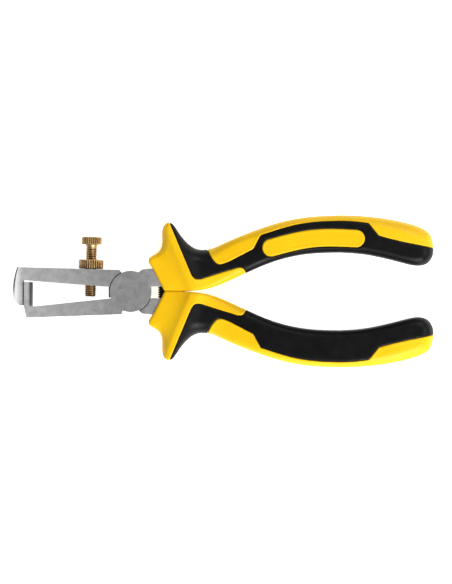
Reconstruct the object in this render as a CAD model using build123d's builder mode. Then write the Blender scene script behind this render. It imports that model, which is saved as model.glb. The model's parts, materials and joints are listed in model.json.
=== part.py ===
"""Wire stripping pliers, 160 mm long, with a stop screw that sets the wire size.

The tool lies flat: +Z is the pivot axis, the jaws point to -X and the handles to +X.
The origin is on the pivot axis at the back face of the steel head. The pose is closed.
The back arm is the upper jaw and the lower handle, the front arm the lower jaw and the
upper handle, and they lap at the pivot.
"""

import os
from math import atan, copysign, cos, radians, sin, sqrt, tan

from build123d import *

# Head and lap joint
HEAD_T = 10.0  # thickness of the steel head, jaws and tangs
MID = HEAD_T / 2  # height of the lap, and the middle of every grip
LAP_GAP = 0.10  # between the two halves of the lap
DISC_R = 7.85  # round half of the lap on each arm
RECESS_R = 8.15  # shoulder of the other arm that the disc turns in
RIVET_R = 3.0
RIVET_PRESS_R = 3.0  # bore of the back arm, which holds the rivet
RIVET_RUN_R = 3.03  # bore of the front arm, which turns on it

# Upper jaw, on the back arm, with the outer stripping blade
JAW_TOP_TIP = (-43.1, 9.3)
JAW_TOP_ROOT = (-4.3, 8.2)
WINDOW_TOP_TIP = (-40.8, 4.3)
WINDOW_TOP_ROOT = (-8.4, 1.8)
OUTER_BLADE_FOOT = -5.3
OUTER_BLADE_BOW = (-44.65, 1.7)
OUTER_BLADE_HEEL = (-44.6, -3.1)
OUTER_BLADE_STEP = 1.4  # flat foot of the outer blade
RIM_BEVEL = (1.3, 0.8)  # ground along the free side of the outer blade
UPPER_JAW_INSIDE = [(-3.5, 7.05), (-1.0, 5.0), (-2.0, 1.3)]  # corners hidden in the lap
WEB_TOP = 3.0  # the rear half of the lap runs out to the straight end of the window
WEB_FOOT = -2.3
WEB_INSIDE = -5.0

# Lower jaw, on the front arm, with the inner stripping blade
BLADE_GAP = 0.2  # the two blades pass each other
INNER_BLADE_T = 3.1
INNER_BLADE_TOP = 3.6
WINDOW_BOTTOM_TIP = (-37.5, -5.75)
WINDOW_BOTTOM_ROOT = (-8.1, -2.7)
JAW_BOTTOM_TIP = (-39.6, -10.0)
JAW_BOTTOM_ROOT = (-3.5, -8.7)
JAW_BOTTOM_CORNER = -5.1
LOWER_JAW_INSIDE = [(-2.0, -2.1), (-1.0, -5.0), (-3.0, -7.25)]

# Wire notches, one in each blade
NOTCH_ANGLE = 60.0
NOTCH_RISE = 0.9  # from the tool's centre line to the bottom of each V
NOTCH_LAND = 0.6  # straight part of the edge, before the ground bevel
NOTCH_BEVEL = 12.0
NOTCH_OUTER_END = -45.5  # each cut starts at the meeting faces and ends in free air
NOTCH_INNER_END = -37.0

# Tangs inside the grips
UPPER_TANG_EDGE = 1.9  # height of the straight inner edge
LOWER_TANG_EDGE = 2.55
TANG_INNER = [(25.0, 4.6), (34.7, 7.9), (46.2, 12.3), (57.6, 16.3), (69.0, 18.6), (80.0, 19.2)]
TANG_END = [(96.0, 17.7), (98.0, 20.4), (96.0, 22.9)]
TANG_OUTER = [(80.0, 24.6), (69.0, 24.1), (57.6, 22.2), (46.2, 18.4), (34.7, 14.0), (25.0, 11.0)]
TANG_ROOT = (8.0, 8.75)
TANG_SHOULDER = (4.5, 8.35)
TANG_CORNER = (3.0, 7.25)
TANG_INSIDE = 2.0

# Opening spring between the tangs
SPRING_X = 12.9
SPRING_R = 2.15  # to the middle of the wire
WIRE_R = 0.35
POCKET_R = 2.85
POCKET_DEPTH = 3.0
SPRING_END_GAP = 0.1
SPRING_TURNS = 11
SLOT_HALF = 3.1  # half height of the slot in the hoods
SLOT_END = 16.2
SLOT_SPARE = 0.25  # the slot is this much deeper than the wider tang edge

# Stop screw and lock nut, M4 x 0.7, square to the top edge of the upper jaw
THREAD_R = 2.0
THREAD_BORE_R = 2.05
BORE_START = 3.0  # above the top edge of the jaw
BORE_LENGTH = 14.0  # down into the window
SCREW_X = -15.13
SCREW_TIP = -10.4  # heights along the screw, from the top edge of the jaw
SCREW_TIP_CHAMFER = 0.3
NECK_START = 7.3
NECK_R = 2.4
HEAD_START = 9.4
HEAD_END = 12.3
HEAD_R = 3.78
HEAD_ROUND = 0.5
HEAD_KNURLS = 28
NUT_START = 0.1
NUT_END = 3.6
NUT_R = 4.65
NUT_KNURLS = 32
NUT_CHAMFER = 0.35
KNURL_DEPTH = 0.28
CORE_R = 1.0  # hidden core of the screw
CORE_GAP = 0.03
CORE_MARGIN = 1.0
RING_R_IN = 2.75  # hidden core of the nut
RING_R_OUT = 3.45
RING_MARGIN = 0.6

# Grips: the upper one is drawn, and the lower one is the same moulding turned over
PARTING = 0.2  # each hood stops short of the centre line
HOOD_FRONT_LOW = (12.4, PARTING)
HOOD_LIP = [(8.5, 8.6), (6.9, 10.9)]
HOOD_FRONT_HIGH = (6.95, 12.4)
GUARD_FRONT = [(7.7, 13.2), (9.9, 14.5), (11.8, 17.3), (12.0, 21.5), (12.3, 24.5)]
GUARD_TIP = (14.3, 26.3)
GUARD_BACK = [(16.4, 25.2), (18.7, 21.7), (21.5, 18.4), (25.0, 16.1), (28.6, 15.8)]
GRIP_RISE = [(34.7, 17.95), (46.2, 22.75), (57.6, 26.45), (69.0, 28.4)]
GRIP_TOP = (80.0, 28.9)
GRIP_FALL = [(91.9, 28.3), (101.0, 26.9), (108.5, 25.0), (114.0, 21.7)]
GRIP_TAIL = (115.3, 16.6)
GRIP_HEEL = [(113.6, 11.8), (110.0, 9.9), (101.0, 11.8), (91.9, 13.7)]
GRIP_PALM = (80.0, 14.9)
GRIP_INNER = [(69.0, 14.5), (57.6, 12.4), (46.2, 8.1), (34.7, 2.85), (27.9, 0.85)]
HOOD_BACK_LOW = (20.0, PARTING)
SOFT_T = 1.2  # least thickness of the soft overmould
INNER_HALF = 5.6  # half thickness of the core under it

# Side view of a grip, along the direction that its front edge faces: distance, half thickness
GUARD_FOOT = (22.9, 6.3)  # the crest of the guard runs from here to its tip
GUARD_TOP = (14.6, 25.3)
SIDE_NOSE = [(-13.5, 6.3), (-9.0, 6.5), (-5.0, 7.1), (-2.0, 8.1), (0.0, 8.5)]
SIDE_NECK = [(0.0, 8.5), (2.0, 7.9), (6.0, 7.0), (12.0, 6.8), (22.0, 7.5), (34.0, 8.3), (44.0, 8.5)]
SIDE_REST_END = (60.0, 8.5)  # flat from the end of SIDE_NECK: the tool rests on it
SIDE_TAIL = [(60.0, 8.5), (72.0, 8.2), (82.0, 7.6), (90.0, 6.7)]

# Black overmould, seen from the front, as runs between its corners
SOFT_FRONT = [(13.6, 27.6), (22.9, 6.3), (24.2, 4.7), (26.6, 4.6)]
SOFT_UNDER = [(26.6, 4.6), (34.7, 7.2), (41.4, 9.2)]
SOFT_HEEL = [(41.4, 9.2), (43.6, 9.2), (44.6, 7.2), (43.4, 4.0)]
SOFT_OUTSIDE = [(60.0, 5.0), (122.0, 5.0), (122.0, 15.0)]
SOFT_END = [(122.0, 15.0), (110.2, 17.5), (101.0, 19.4), (94.2, 21.2)]
SOFT_STEP = [(94.2, 21.2), (90.4, 25.9)]
SOFT_OVER = [(90.4, 25.9), (82.7, 26.7), (75.9, 26.7), (64.5, 25.6), (49.4, 21.3)]
SOFT_NECK = [(49.4, 21.3), (46.6, 16.1)]
SOFT_PANEL = [(46.6, 16.1), (39.3, 12.3), (35.2, 10.7), (32.9, 10.5), (31.2, 11.7), (28.2, 16.2)]
SOFT_SADDLE = [(28.2, 16.2), (26.0, 21.0), (20.0, 27.6), (13.6, 27.6)]
BADGE_ARC = [(53.4, 16.7), (69.0, 20.2), (86.0, 20.2)]
BADGE_H = 6.9

FAR = 60.0  # reach of cutting prisms

# Axis of the stop screw: square to the top edge of the upper jaw
TOP_SLOPE = (JAW_TOP_ROOT[1] - JAW_TOP_TIP[1]) / (JAW_TOP_ROOT[0] - JAW_TOP_TIP[0])
LEAN = -atan(TOP_SLOPE)
SCREW_SEAT = Vector(SCREW_X, JAW_TOP_TIP[1] + TOP_SLOPE * (SCREW_X - JAW_TOP_TIP[0]), MID)
SCREW_DIR = Vector(sin(LEAN), cos(LEAN), 0)
SCREW_AXIS = Axis(SCREW_SEAT, SCREW_DIR)
SCREW_PROFILE = Plane(SCREW_SEAT, x_dir=(cos(LEAN), -sin(LEAN), 0), z_dir=(0, 0, 1))

# Side view plane of a grip: its x runs away from the head, square to the crest of the guard
CREST = (Vector(*GUARD_TOP) - Vector(*GUARD_FOOT)).normalized()
SIDE_VIEW = Plane((*GUARD_FOOT, MID), x_dir=(CREST.Y, -CREST.X, 0), z_dir=(-CREST.X, -CREST.Y, 0))


def across_screw(height):
    """Plane square to the stop screw, at a height above the top edge of the jaw."""
    return Plane(SCREW_SEAT + SCREW_DIR * height, z_dir=SCREW_DIR)


def turned_over(part):
    """The part after half a turn about the line along X through the middle of the tool."""
    return part.rotate(Axis((0, 0, MID), (1, 0, 0)), 180)


def lap_arm(jaw, tang, web, disc_bottom, recess_bottom, bore_r):
    """One forged arm: jaw and tang at full thickness, with its disc in one half of the lap."""
    half = MID - LAP_GAP / 2
    with BuildPart() as arm:
        with BuildSketch(Plane.XY.offset(disc_bottom)):
            add(jaw)
            add(tang)
            add(web)
            Circle(DISC_R)
        extrude(amount=half)
        with BuildSketch(Plane.XY.offset(recess_bottom)):
            add(jaw)
            add(tang)
            Circle(RECESS_R, mode=Mode.SUBTRACT)
        extrude(amount=HEAD_T - half)
        with BuildSketch():
            Circle(bore_r)
        extrude(amount=HEAD_T, mode=Mode.SUBTRACT)
    return arm.part


def wire_notch(bottom, mouth, blade_face, outside):
    """Cutter for the V in one blade: a straight land at blade_face, then a ground bevel."""
    half_angle = radians(NOTCH_ANGLE / 2)
    reach = abs(mouth - bottom)
    side = 1 if mouth > bottom else -1
    grow = abs(outside - blade_face) * tan(radians(NOTCH_BEVEL)) / sin(half_angle)
    land_end = blade_face + copysign(NOTCH_LAND, outside - blade_face)
    stations = [(blade_face, 0.0), (land_end, 0.0), (outside, grow)]
    with BuildPart() as cutter:
        for (x_from, grow_from), (x_to, grow_to) in zip(stations, stations[1:]):
            for x, lift in ((x_from, grow_from), (x_to, grow_to)):
                with BuildSketch(Plane((x, 0, MID), x_dir=(0, 1, 0), z_dir=(1, 0, 0))):
                    apex = bottom - side * lift
                    width = (reach + lift) * tan(half_angle)
                    Polygon((apex, 0), (mouth, width), (mouth, -width), align=None)
            loft(ruled=True)
    return cutter.part


def tang(inner_edge, side):
    """Outline of a tang from inside the lap joint to its end in the grip; side is +1 for up."""
    root = (SLOT_END + 1.0, inner_edge)
    inner = [(x, side * y) for x, y in (root, *TANG_INNER, TANG_END[0])]
    end = [(x, side * y) for x, y in TANG_END]
    outer = [(x, side * y) for x, y in (TANG_END[-1], *TANG_OUTER, TANG_ROOT)]
    lap_corners = (TANG_ROOT, TANG_SHOULDER, TANG_CORNER, (TANG_INSIDE, inner_edge), root)
    joint = [(x, side * y) for x, y in lap_corners]
    with BuildSketch() as outline:
        with BuildLine():
            Spline(*inner)
            ThreePointArc(*end)
            Spline(*outer)
            Polyline(*joint)
        make_face()
    return outline.sketch


def spring_pocket(inner_edge, side):
    """Blind round pocket for one end of the opening spring, bored into a tang's inner edge."""
    with BuildPart() as pocket:
        with BuildSketch(Plane((SPRING_X, 0, MID), z_dir=(0, side, 0))):
            Circle(POCKET_R)
        extrude(amount=inner_edge + POCKET_DEPTH)
    return pocket.part


# Upper jaw with the outer blade
with BuildSketch() as upper_jaw:
    with BuildLine():
        Line(JAW_TOP_TIP, JAW_TOP_ROOT)
        Polyline(JAW_TOP_ROOT, *UPPER_JAW_INSIDE, WINDOW_TOP_ROOT, WINDOW_TOP_TIP)
        Line(WINDOW_TOP_TIP, (WINDOW_TOP_TIP[0], OUTER_BLADE_FOOT))
        Polyline(
            (WINDOW_TOP_TIP[0], OUTER_BLADE_FOOT),
            (WINDOW_TOP_TIP[0] - OUTER_BLADE_STEP, OUTER_BLADE_FOOT),
            OUTER_BLADE_HEEL,
        )
        ThreePointArc(OUTER_BLADE_HEEL, OUTER_BLADE_BOW, JAW_TOP_TIP)
    make_face()

# Lower jaw with the inner blade
INNER_BLADE_X = WINDOW_TOP_TIP[0] + BLADE_GAP
with BuildSketch() as lower_jaw:
    with BuildLine():
        Polyline(
            (INNER_BLADE_X, INNER_BLADE_TOP),
            (INNER_BLADE_X + INNER_BLADE_T, INNER_BLADE_TOP),
            WINDOW_BOTTOM_TIP,
            WINDOW_BOTTOM_ROOT,
            *LOWER_JAW_INSIDE,
            JAW_BOTTOM_ROOT,
            JAW_BOTTOM_TIP,
            (INNER_BLADE_X, JAW_BOTTOM_CORNER),
            close=True,
        )
    make_face()

# The rear disc runs out to the straight end of the window
with BuildSketch() as window_web:
    Polygon(
        (WINDOW_TOP_ROOT[0], WEB_TOP),
        (WINDOW_TOP_ROOT[0], WEB_FOOT),
        (WEB_INSIDE, WEB_FOOT),
        (WEB_INSIDE, WEB_TOP),
        align=None,
    )
with BuildSketch() as no_web:
    Circle(DISC_R)

# Back arm: upper jaw, rear half of the lap, lower tang
lower_tang = tang(LOWER_TANG_EDGE, -1)
back_blank = lap_arm(
    upper_jaw.sketch, lower_tang, window_web.sketch, 0, MID - LAP_GAP / 2, RIVET_PRESS_R
)
with BuildPart() as back_arm:
    add(back_blank)
    blade_rim = edges().filter_by_position(Axis.X, -46, -42.95).filter_by_position(Axis.Y, -4.9, 9)
    chamfer(blade_rim.group_by(Axis.Z)[0] + blade_rim.group_by(Axis.Z)[-1], *RIM_BEVEL)
    outer_notch = wire_notch(NOTCH_RISE, OUTER_BLADE_FOOT - 1, WINDOW_TOP_TIP[0], NOTCH_OUTER_END)
    add(outer_notch, mode=Mode.SUBTRACT)
    with BuildSketch(across_screw(BORE_START)):
        Circle(THREAD_BORE_R)
    extrude(amount=-BORE_LENGTH, mode=Mode.SUBTRACT)
    add(spring_pocket(LOWER_TANG_EDGE, -1), mode=Mode.SUBTRACT)

# Front arm: lower jaw, front half of the lap, upper tang
upper_tang = tang(UPPER_TANG_EDGE, 1)
front_blank = lap_arm(
    lower_jaw.sketch, upper_tang, no_web.sketch, MID + LAP_GAP / 2, 0, RIVET_RUN_R
)
with BuildPart() as front_arm:
    add(front_blank)
    inner_notch = wire_notch(-NOTCH_RISE, INNER_BLADE_TOP + 1, INNER_BLADE_X, NOTCH_INNER_END)
    add(inner_notch, mode=Mode.SUBTRACT)
    add(spring_pocket(UPPER_TANG_EDGE, 1), mode=Mode.SUBTRACT)

# Rivet, flush on both faces of the head
with BuildPart() as pivot_rivet:
    Cylinder(RIVET_R, HEAD_T, align=(Align.CENTER, Align.CENTER, Align.MIN))

# Opening spring, close wound because the handles are squeezed together
SPRING_FOOT = -(LOWER_TANG_EDGE + POCKET_DEPTH - SPRING_END_GAP - WIRE_R)
SPRING_HEAD = UPPER_TANG_EDGE + POCKET_DEPTH - SPRING_END_GAP - WIRE_R
SPRING_PITCH = (SPRING_HEAD - SPRING_FOOT) / SPRING_TURNS
with BuildPart() as opening_spring:
    with BuildLine() as coil:
        Helix(
            SPRING_PITCH,
            SPRING_HEAD - SPRING_FOOT,
            SPRING_R,
            center=(SPRING_X, SPRING_FOOT, MID),
            direction=(0, 1, 0),
        )
    with BuildSketch(Plane(coil.line @ 0, z_dir=coil.line % 0)):
        Circle(WIRE_R)
    sweep(is_frenet=True)


def knurls(radius, count, start, end):
    """Cutter for straight V grooves round a head or nut."""
    with BuildPart() as grooves:
        with BuildSketch(across_screw(start - 1)):
            with PolarLocations(radius, count):
                Rectangle(KNURL_DEPTH * sqrt(2), KNURL_DEPTH * sqrt(2), rotation=45)
        extrude(amount=end - start + 2)
    return grooves.part


# Stop screw
with BuildPart() as adjusting_screw:
    with BuildSketch(SCREW_PROFILE):
        with BuildLine():
            Polyline(
                (0, SCREW_TIP),
                (THREAD_R - SCREW_TIP_CHAMFER, SCREW_TIP),
                (THREAD_R, SCREW_TIP + SCREW_TIP_CHAMFER),
                (THREAD_R, NECK_START),
                (NECK_R, HEAD_START),
                (HEAD_R, HEAD_START),
                (HEAD_R, HEAD_END - HEAD_ROUND),
            )
            TangentArc((HEAD_R, HEAD_END - HEAD_ROUND), (HEAD_R - HEAD_ROUND, HEAD_END), tangent=(0, 1))
            Polyline((HEAD_R - HEAD_ROUND, HEAD_END), (0, HEAD_END), (0, SCREW_TIP))
        make_face()
    revolve(axis=SCREW_AXIS)
    add(knurls(HEAD_R, HEAD_KNURLS, HEAD_START, HEAD_END), mode=Mode.SUBTRACT)
    with BuildSketch(across_screw(SCREW_TIP + CORE_MARGIN - CORE_GAP)):
        Circle(CORE_R + CORE_GAP)
    extrude(amount=HEAD_END - SCREW_TIP - 2 * CORE_MARGIN + 2 * CORE_GAP, mode=Mode.SUBTRACT)

with BuildPart() as adjusting_screw_core:
    with BuildSketch(across_screw(SCREW_TIP + CORE_MARGIN)):
        Circle(CORE_R)
    extrude(amount=HEAD_END - SCREW_TIP - 2 * CORE_MARGIN)

# Lock nut
with BuildPart() as lock_nut:
    with BuildSketch(across_screw(NUT_START)):
        Circle(NUT_R)
        Circle(THREAD_BORE_R, mode=Mode.SUBTRACT)
    extrude(amount=NUT_END - NUT_START)
    rims = edges().filter_by(GeomType.CIRCLE).filter_by(lambda e: e.radius > NUT_R - 0.1)
    chamfer(rims, NUT_CHAMFER)
    add(knurls(NUT_R, NUT_KNURLS, NUT_START, NUT_END), mode=Mode.SUBTRACT)
    with BuildSketch(across_screw(NUT_START + RING_MARGIN - CORE_GAP)):
        Circle(RING_R_OUT + CORE_GAP)
        Circle(RING_R_IN - CORE_GAP, mode=Mode.SUBTRACT)
    extrude(amount=NUT_END - NUT_START - 2 * RING_MARGIN + 2 * CORE_GAP, mode=Mode.SUBTRACT)

with BuildPart() as lock_nut_core:
    with BuildSketch(across_screw(NUT_START + RING_MARGIN)):
        Circle(RING_R_OUT)
        Circle(RING_R_IN, mode=Mode.SUBTRACT)
    extrude(amount=NUT_END - NUT_START - 2 * RING_MARGIN)


RING = [
    HOOD_BACK_LOW,
    HOOD_FRONT_LOW,
    *HOOD_LIP,
    HOOD_FRONT_HIGH,
    *GUARD_FRONT,
    GUARD_TIP,
    *GUARD_BACK,
    *GRIP_RISE,
    GRIP_TOP,
    *GRIP_FALL,
    GRIP_TAIL,
    *GRIP_HEEL,
    GRIP_PALM,
    *GRIP_INNER,
]
RING_STOPS = [RING.index(p) for p in (HOOD_FRONT_HIGH, GUARD_TIP, GRIP_TOP, GRIP_TAIL, GRIP_PALM)]


def grip_front(inset, with_hood):
    """Front view of the upper grip, drawn smaller by inset, with the hood or cut off at the guard."""
    ring = []
    for before, here, after in zip(RING[-1:] + RING, RING, RING[1:] + RING[:1]):
        along = (Vector(*after) - Vector(*before)).normalized()
        ring.append((here[0] + inset * along.Y, here[1] - inset * along.X))
    with BuildSketch() as front:
        with BuildLine():
            if with_hood:
                Polyline(*ring[: RING_STOPS[0] + 1])
                Spline(*ring[RING_STOPS[0] : RING_STOPS[1] + 1])
            else:
                Line(ring[0], ring[RING_STOPS[1]])
            for start, stop in zip(RING_STOPS[1:], RING_STOPS[2:]):
                Spline(*ring[start : stop + 1])
            Spline(*ring[RING_STOPS[-1] :], ring[0])
        make_face()
    return front.sketch


# Side view of the upper grip
with BuildSketch() as grip_side:
    with BuildLine():
        Spline(*SIDE_NOSE, *SIDE_NECK[1:], tangents=[(1, 0.05), (1, 0)])
        Line(SIDE_NECK[-1], SIDE_REST_END)
        Spline(*SIDE_TAIL, tangents=[(1, 0), (1, -0.15)])
        Line(SIDE_TAIL[-1], (SIDE_TAIL[-1][0], 0))
        Line((SIDE_TAIL[-1][0], 0), (SIDE_NOSE[0][0], 0))
        Line((SIDE_NOSE[0][0], 0), SIDE_NOSE[0])
    make_face()
    mirror(about=Plane.XZ)


# Outside of a grip: the solid that has both outlines
with BuildPart() as outer_form:
    with BuildSketch(Plane.XY.offset(-FAR)):
        add(grip_front(0, True))
    extrude(amount=2 * FAR)
    with BuildSketch(SIDE_VIEW):
        add(grip_side.sketch)
    extrude(amount=FAR, both=True, mode=Mode.INTERSECT)

# What the soft part is moulded round: the same outline drawn smaller, with flat sides
with BuildPart() as inner_form:
    with BuildSketch(Plane.XY.offset(MID - INNER_HALF)):
        add(grip_front(SOFT_T, False))
    extrude(amount=2 * INNER_HALF)

# Upper grip: black soft overmould, open over the badge on the front
with BuildPart() as upper_grip_soft:
    add(outer_form.part)
    with BuildSketch(Plane.XY.offset(-FAR)):
        with BuildLine():
            Polyline(*SOFT_FRONT[:2])
            Spline(*SOFT_FRONT[1:])
            Spline(*SOFT_UNDER)
            Spline(*SOFT_HEEL)
            Polyline(SOFT_HEEL[-1], *SOFT_OUTSIDE)
            Spline(*SOFT_END)
            Polyline(*SOFT_STEP)
            Spline(*SOFT_OVER)
            Polyline(*SOFT_NECK)
            Spline(*SOFT_PANEL)
            Polyline(*SOFT_SADDLE)
        make_face()
    extrude(amount=2 * FAR, mode=Mode.INTERSECT)
    add(inner_form.part, mode=Mode.SUBTRACT)
    with BuildSketch(Plane.XY.offset(MID)):
        with BuildLine() as badge_line:
            ThreePointArc(*BADGE_ARC)
        SlotArc(badge_line.edge(), BADGE_H)
    extrude(amount=FAR, mode=Mode.SUBTRACT)

# Hard yellow core of a grip: hood, guard and the panels that the soft part leaves bare
with BuildPart() as bare_core:
    add(outer_form.part)
    add(upper_grip_soft.part, mode=Mode.SUBTRACT)
    with Locations((SLOT_END / 2, 0, MID)):
        Box(SLOT_END, 2 * (LOWER_TANG_EDGE + SLOT_SPARE), 2 * SLOT_HALF, mode=Mode.SUBTRACT)
with BuildPart() as upper_grip_core:
    add(bare_core.part)
    add(front_arm.part, mode=Mode.SUBTRACT)
    add(spring_pocket(UPPER_TANG_EDGE, 1), mode=Mode.SUBTRACT)

# Lower grip: the same moulding turned over, so that its badge faces back
with BuildPart() as lower_grip_soft:
    add(turned_over(upper_grip_soft.part))
with BuildPart() as lower_grip_core:
    add(turned_over(bare_core.part))
    add(back_arm.part, mode=Mode.SUBTRACT)
    add(spring_pocket(LOWER_TANG_EDGE, -1), mode=Mode.SUBTRACT)

pieces = {
    "back_arm": back_arm,
    "front_arm": front_arm,
    "pivot_rivet": pivot_rivet,
    "opening_spring": opening_spring,
    "adjusting_screw": adjusting_screw,
    "adjusting_screw_core": adjusting_screw_core,
    "lock_nut": lock_nut,
    "lock_nut_core": lock_nut_core,
    "upper_grip_core": upper_grip_core,
    "upper_grip_soft": upper_grip_soft,
    "lower_grip_core": lower_grip_core,
    "lower_grip_soft": lower_grip_soft,
}
os.makedirs("parts", exist_ok=True)
for name, piece in pieces.items():
    piece.part.label = name
    export_step(piece.part, f"parts/{name}.step")
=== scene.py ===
"""Looks of the 160 mm wire stripping pliers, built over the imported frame.

The two steel arms are copies of the frame's own meshes with their edges eased. The grips are
meshed from distance fields: the yellow core and the black overmould share one outside form.
The screw and its lock nut are turned and the spring is swept. Sizes are in millimetres, in the
frame's own axes, until a mesh is made; only the lights and the table are given in metres.
"""

import json
from math import ceil, cos, hypot, pi, radians, sin

import bmesh
import bpy
import numpy as np
import openvdb
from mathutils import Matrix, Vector


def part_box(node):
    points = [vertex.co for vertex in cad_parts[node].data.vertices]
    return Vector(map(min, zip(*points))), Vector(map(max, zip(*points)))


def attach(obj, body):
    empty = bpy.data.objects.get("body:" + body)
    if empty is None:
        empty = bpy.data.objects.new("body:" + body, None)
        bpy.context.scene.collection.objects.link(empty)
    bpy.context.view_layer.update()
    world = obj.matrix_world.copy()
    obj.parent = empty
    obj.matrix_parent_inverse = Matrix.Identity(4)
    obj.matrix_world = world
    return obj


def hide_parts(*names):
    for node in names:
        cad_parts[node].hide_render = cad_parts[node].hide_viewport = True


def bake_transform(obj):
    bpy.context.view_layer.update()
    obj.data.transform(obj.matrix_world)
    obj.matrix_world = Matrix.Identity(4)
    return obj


MM = 0.001
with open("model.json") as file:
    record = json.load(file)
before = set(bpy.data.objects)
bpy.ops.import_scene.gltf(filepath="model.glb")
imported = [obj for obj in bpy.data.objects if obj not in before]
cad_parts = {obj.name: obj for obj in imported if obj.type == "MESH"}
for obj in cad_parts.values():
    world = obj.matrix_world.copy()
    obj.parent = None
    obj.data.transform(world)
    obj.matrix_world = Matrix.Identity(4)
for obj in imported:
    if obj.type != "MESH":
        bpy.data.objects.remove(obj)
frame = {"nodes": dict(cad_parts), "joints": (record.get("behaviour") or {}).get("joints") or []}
nodes = frame["nodes"]
joints = {joint["name"]: joint for joint in frame["joints"]}
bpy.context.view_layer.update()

# Middle of the tool's thickness and half the thickness of its head, from the steel
MID = (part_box("front_arm")[0].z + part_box("front_arm")[1].z) / 2 / MM
HEAD_HALF = (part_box("front_arm")[1].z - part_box("front_arm")[0].z) / 2 / MM

# Outline of the upper grip seen from the front, as (x, y, how much that edge is rounded)
HOOD = [
    (20.0, 0.0, 0.4),
    (19.0, -0.6, 0.4),
    (13.2, -0.6, 0.8),
    (8.55, 8.5, 1.0),
    (6.95, 10.9, 1.1),
    (6.95, 12.4, 1.2),
]
GUARD = [
    (6.95, 12.4, 1.2),
    (7.7, 13.2, 1.4),
    (9.9, 14.5, 2.0),
    (11.8, 17.3, 2.7),
    (12.0, 21.5, 2.7),
    (12.4, 24.4, 2.2),
    (13.3, 25.7, 1.8),
    (14.5, 26.2, 1.5),
]
BACK = [
    (14.5, 26.2, 1.5),
    (15.7, 25.75, 1.5),
    (16.9, 24.4, 1.6),
    (18.7, 21.7, 2.2),
    (21.5, 18.4, 3.2),
    (25.0, 16.1, 4.6),
    (28.6, 15.8, 4.4),
    (34.7, 17.95, 3.0),
    (46.2, 22.75, 3.0),
    (57.6, 26.45, 3.2),
    (69.0, 28.4, 3.4),
    (80.0, 28.9, 3.4),
]
TAIL = [
    (80.0, 28.9, 3.4),
    (91.9, 28.3, 3.6),
    (101.0, 26.9, 4.0),
    (108.5, 25.0, 4.4),
    (114.0, 21.7, 4.8),
    (115.3, 16.6, 4.8),
]
HEEL = [
    (115.3, 16.6, 4.8),
    (114.9, 13.7, 4.7),
    (112.6, 10.6, 4.2),
    (109.3, 9.85, 3.6),
    (105.8, 10.4, 3.2),
    (100.4, 11.8, 3.0),
    (95.1, 13.05, 3.0),
    (89.7, 14.1, 3.0),
    (80.0, 14.9, 3.0),
]
PALM = [
    (80.0, 14.9, 3.0),
    (69.0, 14.5, 3.0),
    (57.6, 12.4, 3.0),
    (46.2, 8.1, 2.8),
    (34.7, 2.85, 2.2),
    (27.9, 0.75, 1.2),
    (20.0, 0.0, 0.4),
]

# The hoods meet at a surface that leans, so that no light shines straight through between them
PARTING = 0.04  # each hood stops this far short of it
LEAN = 0.05
LEAN_REACH = 4.0  # it leans within this distance of the middle

# Half thickness of a grip against the distance behind the crest of its guard
CREST_FOOT = (23.0, 6.4)
CREST_TOP = (15.2, 25.2)
THICKEST = 8.5
THICKNESS = [
    (-14.0, 6.2),
    (-10.5, 6.25),
    (-8.0, 6.45),
    (-6.0, 6.85),
    (-4.4, 7.35),
    (-3.2, 7.9),
    (-2.3, 8.35),
    (-1.7, 8.48),
    (-1.2, 8.5),
    (0.0, 8.5),
    (1.5, 8.0),
    (4.0, 7.2),
    (8.0, 6.8),
    (12.0, 6.8),
    (22.0, 7.5),
    (34.0, 8.3),
    (44.0, 8.5),
    (60.0, 8.5),
    (72.0, 8.2),
    (82.0, 7.6),
    (90.0, 6.7),
    (99.0, 5.4),
]
CROWN = 0.35  # the faces fall away this much from their middle to their edge
CROWN_WIDTH = 7.0

# Cells and corners of the block that the grips are meshed in, z from the middle of the tool
VOXEL = 0.35
BLOCK_LOW = (5.5, -1.2, -9.6)
BLOCK_HIGH = (117.0, 30.6, 9.6)

# Black overmould seen from the front: straight and curved runs from corner to corner
SOFT_RUNS = [
    [(14.2, 27.6), (23.1, 6.4)],
    [(23.1, 6.4), (24.5, 4.85), (26.8, 4.7)],
    [(26.8, 4.7), (34.7, 7.2), (40.6, 9.0)],
    [(40.6, 9.0), (42.5, 8.9), (43.7, 7.3), (43.2, 4.0)],
    [(43.2, 4.0), (60.0, 5.0)],
    [(60.0, 5.0), (122.0, 5.0)],
    [(122.0, 5.0), (122.0, 15.0)],
    [(122.0, 15.0), (110.2, 17.5), (101.0, 19.4), (94.2, 21.2)],
    [(94.2, 21.2), (90.4, 25.9)],
    [(90.4, 25.9), (82.7, 26.7), (75.9, 26.7), (64.5, 25.6), (49.4, 21.3)],
    [(49.4, 21.3), (46.6, 16.1)],
    [(46.6, 16.1), (39.3, 12.3), (35.5, 10.6), (33.4, 10.4), (31.9, 11.5), (29.1, 16.2)],
    [(29.1, 16.2), (26.9, 21.0)],
    [(26.9, 21.0), (20.0, 27.6)],
    [(20.0, 27.6), (14.2, 27.6)],
]
BADGE_LINE = [(53.4, 16.6), (69.0, 20.05), (85.6, 20.05)]
BADGE_HALF = 3.35
RECESS = 0.95  # the core is this much lower under the overmould
SOFT_T = 0.85
SEAM = 0.05  # between the two materials along their edge
SEAM_ROUND = 0.22
PROUD = 0.1  # the overmould stands this much above the core
BEAD = (0.14, 0.5, 0.4)  # rim of the core along the seam: height, place, half width

# Slot in both hoods, which the opening spring lies in
SLOT_END = 16.2
SLOT_HALF_Y = 2.8
SLOT_HALF_Z = 3.1

# Opening spring
SPRING_X = 12.9
SPRING_R = 2.15
WIRE_R = 0.35
SPRING_LOW = -5.1
SPRING_HIGH = 4.45
SPRING_TURNS = 11

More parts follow.
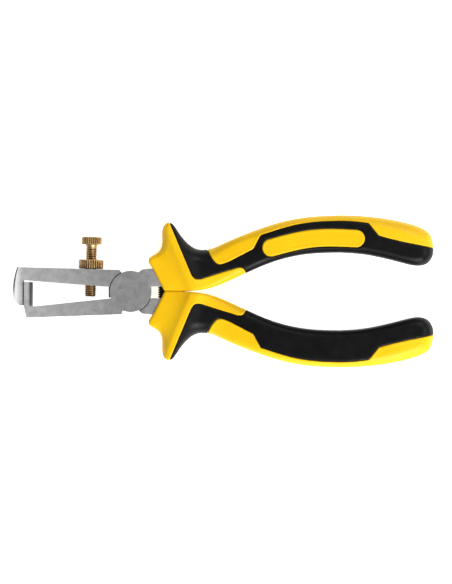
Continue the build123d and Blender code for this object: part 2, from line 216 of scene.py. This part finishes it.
# Stop screw and lock nut: heights are measured along the screw from the top of the jaw
PITCH = 0.7
THREAD_R = 2.15
THREAD_DEPTH = 0.36
SCREW_TIP = -10.4
NECK_START = 8.2
NECK_R = 2.4
SCREW_HEAD = (9.4, 12.3, 3.82)  # from, to, radius
NUT = (0.1, 3.6, 4.7)
HEAD_KNURLS = 28
NUT_KNURLS = 32
KNURL = 0.34  # depth
KNURL_SHAPE = np.array([1.0, 0.65, 0.1, 0.0, 0.1, 0.65])  # of one groove, as shares of KNURL
THREAD_CREST = 0.4  # share of the pitch over which the thread is full
THREAD_FLANK = 0.45  # share that its two flanks take up
TIP_CHAMFER = 0.4
TIP_R = THREAD_R - 0.45
NECK_FOOT_R = THREAD_R - 0.15
HEAD_UNDER = [(0.02, 0.5), (0.06, 0.2), (0.2, 0.06), (0.35, 0.0)]  # rise and inset of each row
HEAD_ROUND = 0.7
HEAD_DISH = (2.6, 2.3, 0.08)  # outer radius, inner radius, depth
NUT_EDGE = [(0.04, 0.38), (0.16, 0.18), (0.34, 0.0)]  # the same
NUT_FACE_INSET = 0.5
BORE_R = 2.02
BORE_MOUTH = (2.35, 0.3)  # radius, depth

# Steel arms
WELD = 0.002  # corners nearer than this are one
EASE = 0.22  # width of the bevel along sharp edges
FLAT = radians(0.6)
SHARP = radians(30)
RIVET_CLEAR = 3.6  # no eased edge nearer to the pivot's axis than this
TANG_START = 5.0  # the grips only reach steel beyond this

# Painted shade and painted reflections on the steel, and its smoothed blade end, each from x or y
# where it starts, is full, starts to fade and ends
# painted shade, darker towards the joint
PAINTED_JOINT_SHADE_X = (-45.0, -2.0, 4.0, 30.0)
GROUND_GLARE_X = (-46.0, -45.0, -43.2, -40.9)  # blade end smoothed by grinding, painted near white as a reflection
GROUND_GLARE_WANDER = 0.8
BLADE_GAP_SHADE_X = (-41.05, -40.85, -40.6, -40.35)  # painted shadow in the gap between the blades
INNER_EDGE_SHADE_X = (-38.9, -38.0, -36.6, -36.4)  # painted shade on the bevel of the inner blade
BLADE_Y = (-6.0, -5.0, 3.4, 3.9)  # where those two lie
OUTER_EDGE_SHADE_X = (-46.0, -45.5, -44.05, -43.8)  # painted shade along the outer blade's end
OUTER_EDGE_SHADE_Y = (-3.0, 2.0, 12.0, 13.0)
OUTER_BOW = (0.3, 0.0165)  # that end is bowed: y of its middle, and bend

# Table and lights, in metres
TABLE_REACH = 3.0
TABLE_GLOW = 0.75
LIGHTS = [  # name, place, side, watts
    ("key", (0.38, -0.7, 0.52), 0.5, 10.4),
    ("fill", (0.5, 0.65, 0.7), 0.5, 4.0),
    ("left", (-0.8, 0.0, 0.42), 0.4, 1.0),
    ("right", (0.9, 0.0, 0.6), 0.4, 2.2),
]
LIGHTS_AIM = (0.036, 0, 0)
SKY = 0.28

# Camera
PICTURE_HEIGHT = 222.5  # at the middle of the tool
PICTURE_CENTRE = (36.3, -0.2)
CAMERA_UP = 1500.0


def spline(points, step=0.5):
    """Points along the natural cubic curve through the given ones, in any number of values."""
    p = np.array(points, float)
    lengths = np.hypot(*np.diff(p[:, :2], axis=0).T)
    t = np.concatenate([[0], np.cumsum(lengths)])
    last = len(p) - 1
    system = np.eye(last + 1)
    right = np.zeros_like(p)
    for i in range(1, last):
        system[i, i - 1 : i + 2] = lengths[i - 1], 2 * (lengths[i - 1] + lengths[i]), lengths[i]
        right[i] = 6 * ((p[i + 1] - p[i]) / lengths[i] - (p[i] - p[i - 1]) / lengths[i - 1])
    bend = np.linalg.solve(system, right)
    s = np.linspace(0, t[-1], ceil(t[-1] / step) + 1)
    i = np.clip(np.searchsorted(t, s, side="right") - 1, 0, last - 1)
    h = lengths[i][:, None]
    before = (s - t[i])[:, None]
    after = h - before
    curve = (bend[i] * after**3 + bend[i + 1] * before**3) / (6 * h)
    curve += (p[i] / h - bend[i] * h / 6) * after
    return curve + (p[i + 1] / h - bend[i + 1] * h / 6) * before


def closed_loop(runs):
    """One closed ring of points from runs that each start where the last one ended."""
    return np.concatenate([spline(run)[:-1] for run in runs])


def distance_to(x, y, line, closed=True):
    """Distance to a line of points, negative inside a closed one, and the line's third value."""
    best = np.full(x.shape, np.inf)
    inside = np.zeros(x.shape, bool)
    third = np.zeros(x.shape)
    ends = np.roll(line, -1, axis=0) if closed else line[1:]
    for a, b in zip(line, ends):
        dx, dy = b[0] - a[0], b[1] - a[1]
        along = np.clip(((x - a[0]) * dx + (y - a[1]) * dy) / (dx * dx + dy * dy), 0, 1)
        gap = np.hypot(x - a[0] - along * dx, y - a[1] - along * dy)
        if len(a) > 2:
            third = np.where(gap < best, a[2] + along * (b[2] - a[2]), third)
        best = np.minimum(best, gap)
        if closed and a[1] != b[1]:
            crosses = (a[1] > y) != (b[1] > y)
            inside ^= crosses & (x < a[0] + (y - a[1]) / dy * dx)
    return np.where(inside, -best, best), third


def rounded_max(a, b, r):
    """Both fields' common inside, with the edge between them rounded to radius r."""
    corner = np.hypot(np.maximum(a + r, 0), np.maximum(b + r, 0))
    return np.minimum(np.maximum(a + r, b + r), 0) + corner - r


def new_piece(name, points, faces, material, body=None):
    """A smooth-shaded mesh object from points in millimetres, riding on a body if one is named."""
    mesh = bpy.data.meshes.new(name)
    mesh.from_pydata((points * MM).tolist(), [], faces)
    mesh.shade_smooth()
    mesh.materials.append(material)
    piece = bpy.data.objects.new(name, mesh)
    bpy.context.scene.collection.objects.link(piece)
    if body:
        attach(piece, body)
    return piece


# ---------------------------------------------------------------- materials


class Paint:
    """A material with one Principled shader, and short ways to add the nodes that feed it."""

    def __init__(self, name, **sockets):
        self.material = bpy.data.materials.new(name)
        self.material.use_nodes = True
        self.tree = self.material.node_tree
        self.tree.nodes.clear()
        self.shader = self.tree.nodes.new("ShaderNodeBsdfPrincipled")
        output = self.tree.nodes.new("ShaderNodeOutputMaterial")
        self.link(self.shader.outputs["BSDF"], output.inputs["Surface"])
        for socket, value in sockets.items():
            self.shader.inputs[socket.replace("_", " ")].default_value = value
        coordinates = self.tree.nodes.new("ShaderNodeTexCoord")
        self.place = coordinates.outputs["Object"]

    def link(self, source, target):
        self.tree.links.new(source, target)

    def noise(self, size, detail=4.0, rough=0.55):
        """Noise whose features are about size millimetres across."""
        node = self.tree.nodes.new("ShaderNodeTexNoise")
        node.inputs["Scale"].default_value = 1 / (size * MM)
        node.inputs["Detail"].default_value = detail
        node.inputs["Roughness"].default_value = rough
        self.link(self.place, node.inputs["Vector"])
        return node.outputs["Fac"]

    def ramp(self, value, *stops):
        """Value mapped through (position, grey or colour) stops."""
        node = self.tree.nodes.new("ShaderNodeValToRGB")
        elements = node.color_ramp.elements
        while len(elements) < len(stops):
            elements.new(0.5)
        for element, (position, colour) in zip(elements, stops):
            element.position = position
            grey = isinstance(colour, float)
            element.color = (colour, colour, colour, 1) if grey else (*colour, 1)
        self.link(value, node.inputs["Fac"])
        return node.outputs["Color"]

    def maths(self, operation, a, b, clamp=False):
        """One maths node on two values, each a number or another node's output."""
        node = self.tree.nodes.new("ShaderNodeMath")
        node.operation = operation
        node.use_clamp = clamp
        for socket, value in zip(node.inputs, (a, b)):
            if isinstance(value, (int, float)):
                socket.default_value = value
            else:
                self.link(value, socket)
        return node.outputs["Value"]

    def band(self, value, start, full, fading, end):
        """One between full and fading, nothing outside start and end, blended between them."""
        rise = self.maths("DIVIDE", self.maths("SUBTRACT", value, start), full - start, True)
        fall = self.maths("DIVIDE", self.maths("SUBTRACT", end, value), end - fading, True)
        return self.maths("MULTIPLY", rise, fall)

    def mix(self, factor, a, b, blend="MIX"):
        """Two colours mixed; each is a colour or another node's output, as the factor may be."""
        node = self.tree.nodes.new("ShaderNodeMix")
        node.data_type = "RGBA"
        node.blend_type = blend
        share, first, second = (node.inputs[i] for i in (0, 6, 7))  # the ones for colours
        for socket, value in ((share, factor), (first, a), (second, b)):
            if isinstance(value, tuple):
                socket.default_value = (*value, 1)
            elif isinstance(value, (int, float)):
                socket.default_value = value
            else:
                self.link(value, socket)
        return node.outputs[2]

    def feed(self, **sockets):
        for socket, source in sockets.items():
            self.link(source, self.shader.inputs[socket.replace("_", " ")])

    def bump(self, height, depth, strength=1.0):
        """Relief of the given depth in millimetres."""
        node = self.tree.nodes.new("ShaderNodeBump")
        node.inputs["Distance"].default_value = depth * MM
        node.inputs["Strength"].default_value = strength
        self.link(height, node.inputs["Height"])
        self.link(node.outputs["Normal"], self.shader.inputs["Normal"])


def steel_paint():
    """Fine shot-blasted steel with faint stains and painted shade towards the joint; at the
    blades, a painted reflection where the blade end was smoothed by grinding, and painted shade in
    the gap and along the edges.
    """
    paint = Paint("blasted_steel")
    light_stain, dark_stain = (0.675, 0.675, 0.68), (0.505, 0.505, 0.51)
    mottle = paint.ramp(paint.noise(2.2), (0.3, dark_stain), (0.72, light_stain))
    grain = paint.ramp(paint.noise(0.35, 2.0), (0.3, 0.86), (0.7, 1.0))
    blasted = paint.mix(1.0, mottle, grain, "MULTIPLY")
    split = paint.tree.nodes.new("ShaderNodeSeparateXYZ")
    paint.link(paint.place, split.inputs[0])
    x = paint.maths("DIVIDE", split.outputs["X"], MM)
    y = paint.maths("DIVIDE", split.outputs["Y"], MM)
    # Painted shade: the steel is made darker towards the joint, where it falls in shade.
    shade = paint.ramp(paint.band(x, *PAINTED_JOINT_SHADE_X), (0.0, 1.0), (1.0, 0.55))
    blasted = paint.mix(1.0, blasted, shade, "MULTIPLY")

    # Painted reflection: the smoothed blade end is given a near-white colour and less metal, and
    # has no grain.
    wander = paint.maths("MULTIPLY", paint.noise(3.0, 2.0), GROUND_GLARE_WANDER)
    ground_glare = paint.band(paint.maths("ADD", x, wander), *GROUND_GLARE_X)
    steel_with_painted_light = paint.mix(ground_glare, blasted, (0.95, 0.945, 0.93))
    paint.feed(Metallic=paint.maths("SUBTRACT", 0.8, paint.maths("MULTIPLY", ground_glare, 0.3)))

    # Painted shade: a near-black line in the gap between the blades, on the inner blade's bevel
    # and along the outer blade's end.
    inner_bevel_shade = paint.maths("MULTIPLY", paint.band(x, *INNER_EDGE_SHADE_X), 0.9)
    edge_shade = paint.maths("MAXIMUM", paint.band(x, *BLADE_GAP_SHADE_X), inner_bevel_shade)
    edge_shade = paint.maths("MULTIPLY", edge_shade, paint.band(y, *BLADE_Y))
    bow_middle, bow_bend = OUTER_BOW
    bow = paint.maths("POWER", paint.maths("SUBTRACT", y, bow_middle), 2.0)
    straight = paint.maths("SUBTRACT", x, paint.maths("MULTIPLY", bow, bow_bend))
    outer = paint.band(straight, *OUTER_EDGE_SHADE_X)
    outer = paint.maths("MULTIPLY", outer, paint.band(y, *OUTER_EDGE_SHADE_Y))
    edge_shade = paint.maths("MULTIPLY", paint.maths("MAXIMUM", edge_shade, outer), 0.96)
    paint.feed(Base_Color=paint.mix(edge_shade, steel_with_painted_light, (0.02, 0.018, 0.02)))

    paint.feed(Roughness=paint.ramp(paint.noise(1.2), (0.3, 0.52), (0.7, 0.66)))
    relief = paint.maths("MULTIPLY", paint.noise(0.18, 3.0), paint.maths("SUBTRACT", 1.0, ground_glare))
    paint.bump(relief, 0.02, 0.7)
    return paint.material


def brass_paint():
    """Turned brass, gone brown in places, with painted shade in the grooves of thread and knurl.
    """
    paint = Paint("brass", Metallic=1.0)
    tarnish = paint.ramp(
        paint.noise(1.6),
        (0.3, (0.36, 0.20, 0.075)),
        (0.55, (0.54, 0.36, 0.17)),
        (0.75, (0.68, 0.50, 0.28)),
    )
    # Painted shade: the deeper a point lies in a groove, the nearer its colour goes to a blackish
    # brown.
    cut = paint.tree.nodes.new("ShaderNodeAttribute")
    cut.attribute_name = "groove"
    groove_shade = paint.ramp(cut.outputs["Fac"], (0.15, 0.0), (0.8, 0.9))
    paint.feed(Base_Color=paint.mix(groove_shade, tarnish, (0.07, 0.035, 0.012)))
    paint.feed(Roughness=paint.ramp(paint.noise(0.5), (0.3, 0.28), (0.7, 0.46)))
    paint.bump(paint.noise(0.12, 2.0), 0.012, 0.6)
    return paint.material


def spring_paint():
    """Blackened spring wire with a little oil on it."""
    paint = Paint("black_spring_steel", Metallic=0.7)
    paint.feed(
        Base_Color=paint.ramp(
            paint.noise(0.8), (0.35, (0.012, 0.012, 0.013)), (0.7, (0.045, 0.043, 0.042))
        )
    )
    paint.feed(Roughness=paint.ramp(paint.noise(0.4), (0.3, 0.3), (0.7, 0.5)))
    paint.bump(paint.noise(0.1, 2.0), 0.008, 0.5)
    return paint.material


def yellow_paint():
    """Moulded yellow plastic: soft gloss, a fine spark-eroded grain and faint flow marks."""
    paint = Paint("yellow_plastic", Specular_IOR_Level=0.2)
    flow = paint.ramp(
        paint.noise(9.0, 3.0), (0.3, (0.86, 0.49, 0.002)), (0.7, (0.90, 0.545, 0.004))
    )
    specks = paint.ramp(paint.noise(0.5, 2.0), (0.3, 0.94), (0.6, 1.0))
    paint.feed(Base_Color=paint.mix(1.0, flow, specks, "MULTIPLY"))
    paint.feed(Roughness=paint.ramp(paint.noise(0.8), (0.3, 0.36), (0.7, 0.5)))
    paint.bump(paint.noise(0.35, 3.0), 0.02, 0.5)
    return paint.material


def black_paint():
    """Black soft overmould: matt grain, rubbed a little smoother in patches."""
    paint = Paint("black_soft_plastic", Specular_IOR_Level=0.12)
    paint.feed(
        Base_Color=paint.ramp(
            paint.noise(4.0, 5.0), (0.3, (0.003, 0.003, 0.003)), (0.7, (0.006, 0.006, 0.0065))
        )
    )
    paint.feed(Roughness=paint.ramp(paint.noise(3.0), (0.3, 0.32), (0.7, 0.46)))
    paint.bump(paint.noise(0.28, 3.0), 0.03, 0.6)
    return paint.material


STEEL = steel_paint()
BRASS = brass_paint()
SPRING = spring_paint()
YELLOW = yellow_paint()
BLACK = black_paint()


def repaint(node, material):
    """One node of the frame given the material, its shape left alone."""
    nodes[node].data.materials.clear()
    nodes[node].data.materials.append(material)


# ---------------------------------------------------------------- steel arms


def eased_copy(node, body):
    """A copy of one steel node with its edges eased, which stands for that node."""
    mesh = nodes[node].data.copy()
    work = bmesh.new()
    work.from_mesh(mesh)
    bmesh.ops.remove_doubles(work, verts=work.verts, dist=WELD * MM)
    bmesh.ops.dissolve_limit(work, angle_limit=FLAT, verts=work.verts, edges=work.edges)
    weight = work.edges.layers.float.new("bevel_weight_edge")
    for edge in work.edges:
        middle = (edge.verts[0].co + edge.verts[1].co) / 2
        sharp = edge.is_manifold and edge.calc_face_angle(0) > SHARP
        edge[weight] = float(sharp and hypot(middle.x, middle.y) > RIVET_CLEAR * MM)
    work.to_mesh(mesh)
    work.free()
    mesh.materials.clear()
    mesh.materials.append(STEEL)
    mesh.shade_smooth()
    piece = bpy.data.objects.new(node + "_eased", mesh)
    bpy.context.scene.collection.objects.link(piece)
    bevel = piece.modifiers.new("eased edges", "BEVEL")
    bevel.width = EASE * MM
    bevel.segments = 2
    bevel.limit_method = "WEIGHT"
    bevel.harden_normals = True
    faces = piece.modifiers.new("flat faces", "WEIGHTED_NORMAL")
    faces.weight = 100
    faces.keep_sharp = True
    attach(piece, body)
    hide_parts(node)


eased_copy("back_arm", "back_arm")
eased_copy("front_arm", "front_arm")
repaint("pivot_rivet", STEEL)


# ---------------------------------------------------------------- screw and nut


SCREW_SEAT = Vector(joints["screw_turn"]["pos_m"]) / MM
SCREW_UP = Vector(joints["screw_turn"]["axis"]).normalized()
SCREW_ACROSS = SCREW_UP.cross(Vector((0, 0, 1)))
SCREW_SIDE = SCREW_UP.cross(SCREW_ACROSS)


def turned(name, rows, body, ring=False):
    """A mesh turned about the screw's axis from rows of (height, radius at each column).

    A ring's last row joins its first; otherwise both ends are closed.
    """
    columns = len(rows[0][1])
    turn = np.arange(columns) * 2 * pi / columns
    across = np.outer(np.cos(turn), SCREW_ACROSS) + np.outer(np.sin(turn), SCREW_SIDE)
    points = [np.array(SCREW_SEAT + SCREW_UP * h) + r[:, None] * across for h, r in rows]
    count = len(rows)
    faces = []
    for row in range(count if ring else count - 1):
        low, high = row * columns, (row + 1) % count * columns
        for i in range(columns):
            j = (i + 1) % columns
            faces.append((low + i, low + j, high + j, high + i))
    points = np.concatenate(points)
    if not ring:
        ends = [SCREW_SEAT + SCREW_UP * rows[0][0], SCREW_SEAT + SCREW_UP * rows[-1][0]]
        middle = len(points)
        top = (count - 1) * columns
        points = np.concatenate([points, ends])
        for i in range(columns):
            j = (i + 1) % columns
            faces.append((middle, j, i))
            faces.append((middle + 1, top + i, top + j))
    piece = new_piece(name, points, faces, BRASS, body)
    # How deep each point lies in a groove, which the brass paints as shade.
    depth = np.zeros(len(points))
    depth[: count * columns] = np.concatenate([(r.max() - r) / KNURL for h, r in rows])
    groove = piece.data.attributes.new("groove", "FLOAT", "POINT")
    groove.data.foreach_set("value", depth.clip(0, 1).astype(np.float32))
    return piece


def knurled(radius, outside, count):
    """Radii round one row: radius, cut by straight V grooves below the outside radius."""
    return np.minimum(radius, outside - KNURL * np.tile(KNURL_SHAPE, count))


def threaded(height, columns):
    """Radii round one row of the screw's right-hand thread."""
    turn = np.arange(columns) / columns
    wave = np.abs(2 * ((height / PITCH - turn) % 1) - 1)
    return THREAD_R - THREAD_DEPTH * np.clip((wave - THREAD_CREST) / THREAD_FLANK, 0, 1)


def screw_rows():
    """Rows of the stop screw, from its tip to the top of its knurled head."""
    start, end, radius = SCREW_HEAD
    columns = HEAD_KNURLS * len(KNURL_SHAPE)
    plain = np.ones(columns)
    rows = [(SCREW_TIP, plain * TIP_R)]
    for height in np.arange(SCREW_TIP + 0.05, NECK_START, PITCH / 10):
        chamfer = THREAD_R - TIP_CHAMFER + (height - SCREW_TIP)
        rows.append((height, np.minimum(threaded(height, columns), chamfer)))
    for share in np.linspace(0, 1, 6):
        height = NECK_START + share * (start - NECK_START)
        rows.append((height, plain * (NECK_FOOT_R + (NECK_R - NECK_FOOT_R) * share**2)))
    for rise, inset in HEAD_UNDER:
        rows.append((start + rise, knurled(radius - inset, radius, HEAD_KNURLS)))
    for lean in np.linspace(0, pi / 2, 7):
        height = end - HEAD_ROUND + HEAD_ROUND * sin(lean)
        inset = HEAD_ROUND - HEAD_ROUND * cos(lean)
        rows.append((height, knurled(radius - inset, radius, HEAD_KNURLS)))
    dish_outer, dish_inner, dish_depth = HEAD_DISH
    rows.append((end, plain * dish_outer))
    rows.append((end - dish_depth, plain * dish_inner))
    return rows


def nut_rows():
    """Rows round the section of the knurled lock nut, bore first."""
    start, end, radius = NUT
    plain = np.ones(NUT_KNURLS * len(KNURL_SHAPE))
    mouth_r, mouth_depth = BORE_MOUTH
    face_r = radius - NUT_FACE_INSET
    rows = [(start + mouth_depth, plain * BORE_R), (start, plain * mouth_r)]
    rows.append((start, plain * face_r))
    for rise, inset in NUT_EDGE:
        rows.append((start + rise, knurled(radius - inset, radius, NUT_KNURLS)))
    for rise, inset in reversed(NUT_EDGE):
        rows.append((end - rise, knurled(radius - inset, radius, NUT_KNURLS)))
    rows.append((end, plain * face_r))
    rows += [(end, plain * mouth_r), (end - mouth_depth, plain * BORE_R)]
    return rows


screw = turned("knurled_stop_screw", screw_rows(), "screw")
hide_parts("adjusting_screw")
nut = turned("knurled_lock_nut", nut_rows(), "nut", ring=True)
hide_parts("lock_nut")
repaint("adjusting_screw_core", BRASS)
repaint("lock_nut_core", BRASS)


# ---------------------------------------------------------------- opening spring


def coil():
    """Tube along the spring's helix, with both ends closed."""
    around, per_turn = 12, 28
    count = SPRING_TURNS * per_turn + 1
    turn = np.linspace(0, SPRING_TURNS * 2 * pi, count)
    rise = np.linspace(SPRING_LOW, SPRING_HIGH, count)
    outward = np.stack([np.cos(turn), np.zeros(count), -np.sin(turn)], axis=1)
    axis = np.stack([np.full(count, SPRING_X), rise, np.full(count, MID)], axis=1)
    centre = outward * SPRING_R + axis
    rings = []
    for corner in np.arange(around) * 2 * pi / around:
        rings.append(centre + WIRE_R * (cos(corner) * outward + sin(corner) * np.array([0, 1, 0])))
    points = np.stack(rings, axis=1).reshape(-1, 3)
    last = (count - 1) * around
    faces = [list(range(around))[::-1], list(range(last, last + around))]
    for low in range(0, last, around):
        high = low + around
        for k in range(around):
            j = (k + 1) % around
            faces.append([low + k, low + j, high + j, high + k])
    return new_piece("coil_spring", points, faces, SPRING)


spring = coil()
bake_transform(spring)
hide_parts("opening_spring")


# ---------------------------------------------------------------- grips


def steel_inside(x, y):
    """Distance to the outline of the front arm's front face, negative inside it."""
    mesh = nodes["front_arm"].data
    top = (MID + HEAD_HALF - 0.05) * MM
    uses = {}
    for face in mesh.polygons:
        corners = [mesh.vertices[i].co for i in face.vertices]
        if min(c.z for c in corners) < top:
            continue
        flat = [(round(c.x / MM, 3), round(c.y / MM, 3)) for c in corners]
        for a, b in zip(flat, flat[1:] + flat[:1]):
            key = (min(a, b), max(a, b))
            uses[key] = uses.get(key, 0) + 1
    best = np.full(x.shape, np.inf)
    inside = np.zeros(x.shape, bool)
    for a, b in (edge for edge, count in uses.items() if count == 1):  # on one face only
        if max(a[0], b[0]) >= TANG_START:
            best = np.minimum(best, distance_to(x, y, np.array([a, b]), closed=False)[0])
        if a[1] != b[1]:
            crosses = (a[1] > y) != (b[1] > y)
            inside ^= crosses & (x < a[0] + (y - a[1]) / (b[1] - a[1]) * (b[0] - a[0]))
    return np.where(inside, -best, best)


def grip_fields():
    """The upper grip's core and overmould as distance fields through the block."""
    axes = [np.arange(low, high, VOXEL) for low, high in zip(BLOCK_LOW, BLOCK_HIGH)]
    x, y = np.meshgrid(axes[0], axes[1], indexing="ij")
    z = axes[2][None, None, :]

    outline = closed_loop([*zip(HOOD, HOOD[1:]), GUARD, BACK, TAIL, HEEL, PALM])
    edge, rounding = distance_to(x, y, outline)
    crest = Vector(CREST_TOP) - Vector(CREST_FOOT)
    crest.normalize()
    behind = (x - CREST_FOOT[0]) * crest.y - (y - CREST_FOOT[1]) * crest.x
    side = spline(THICKNESS, step=0.2)
    half = np.minimum(np.interp(behind, side[:, 0], side[:, 1]), THICKEST) - PROUD
    half = half - CROWN * np.clip(1 + edge / CROWN_WIDTH, 0, 1) ** 2
    parting = PARTING + LEAN * np.clip(z, -LEAN_REACH, LEAN_REACH) - y[:, :, None]
    edge = np.maximum(edge[:, :, None], parting)
    form = rounded_max(edge, np.abs(z) - half[:, :, None], rounding[:, :, None])

    soft, _ = distance_to(x, y, closed_loop(SOFT_RUNS))
    badge, _ = distance_to(x, y, spline(BADGE_LINE), closed=False)
    badge = badge - BADGE_HALF
    region = np.where(z > 0, np.maximum(soft, -badge)[:, :, None], soft[:, :, None])

    rise, place, spread = BEAD
    bead = rise * np.exp(-(((region - place) / spread) ** 2))
    core = np.minimum(rounded_max(form - bead, -region, SEAM_ROUND), form + RECESS)
    slot = np.maximum(x - SLOT_END, y - SLOT_HALF_Y)[:, :, None]
    slot = np.maximum(slot, np.abs(z) - SLOT_HALF_Z)
    core = np.maximum(core, -slot)
    tang = np.maximum(steel_inside(x, y)[:, :, None], np.abs(z) - HEAD_HALF)
    core = np.maximum(core, -tang)
    cover = rounded_max(form - PROUD, region + SEAM, SEAM_ROUND)
    cover = np.maximum(cover, -(form + SOFT_T))
    return core, cover


def surface(field):
    """Points and quads of a field's zero surface."""
    grid = openvdb.FloatGrid(background=1.0)
    grid.copyFromArray(np.clip(field, -1, 1).astype(np.float32))
    points, quads = grid.convertToQuads()
    return points * VOXEL + np.array(BLOCK_LOW), quads


def grip_pair(name, field, material):
    """One grip piece for each handle: the lower one is the upper one turned over."""
    points, quads = surface(field)
    made = []
    handles = [("upper", "front_arm", (1, 1, 1)), ("lower", "back_arm", (1, -1, -1))]
    for place, body, turn in handles:
        placed = points * turn + (0, 0, MID)
        piece = new_piece(f"{place}_{name}", placed, quads.tolist(), material, body)
        made.append(piece)
    return made


core_field, cover_field = grip_fields()
upper, lower = grip_pair("core", core_field, YELLOW)
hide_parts("upper_grip_core")
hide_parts("lower_grip_core")
upper, lower = grip_pair("overmould", cover_field, BLACK)
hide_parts("upper_grip_soft")
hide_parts("lower_grip_soft")


# ---------------------------------------------------------------- stage, light and camera


def floor():
    """A wide pale table under the tool."""
    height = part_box("upper_grip_core")[0].z
    mesh = bpy.data.meshes.new("table")
    signs = [(-1, -1), (1, -1), (1, 1), (-1, 1)]
    corners = [(x * TABLE_REACH, y * TABLE_REACH, height) for x, y in signs]
    mesh.from_pydata(corners, [], [(0, 1, 2, 3)])
    paint = Paint("pale_table", Roughness=0.9, Specular_IOR_Level=0.0)
    paint.feed(Base_Color=paint.ramp(paint.noise(40.0), (0.3, 0.93), (0.7, 0.95)))
    paint.shader.inputs["Emission Color"].default_value = (1, 1, 1, 1)
    paint.shader.inputs["Emission Strength"].default_value = TABLE_GLOW
    mesh.materials.append(paint.material)
    table = bpy.data.objects.new("table", mesh)
    bpy.context.scene.collection.objects.link(table)


def softbox(name, place, size, power):
    """A square area light at place, turned towards the tool."""
    light = bpy.data.lights.new(name, "AREA")
    light.size = size
    light.energy = power
    lamp = bpy.data.objects.new(name, light)
    lamp.location = place
    lamp.rotation_mode = "QUATERNION"
    lamp.rotation_quaternion = (Vector(LIGHTS_AIM) - Vector(place)).to_track_quat("-Z", "Y")
    bpy.context.scene.collection.objects.link(lamp)


def studio():
    """Soft lights, strongest from below in the picture, and a dim white sky."""
    for light in LIGHTS:
        softbox(*light)
    world = bpy.data.worlds.new("studio")
    world.use_nodes = True
    sky = world.node_tree.nodes["Background"]
    sky.inputs["Color"].default_value = (1, 1, 1, 1)
    sky.inputs["Strength"].default_value = SKY
    bpy.context.scene.world = world
    bpy.context.scene.view_settings.view_transform = "Standard"


def camera():
    """Straight above the tool, with the jaws to the left."""
    data = bpy.data.cameras.new("camera")
    data.lens = data.sensor_width * CAMERA_UP / PICTURE_HEIGHT
    data.clip_end = 20
    eye = bpy.data.objects.new("camera", data)
    eye.location = Vector((*PICTURE_CENTRE, MID + CAMERA_UP)) * MM
    bpy.context.scene.collection.objects.link(eye)
    bpy.context.scene.camera = eye


floor()
studio()
camera()
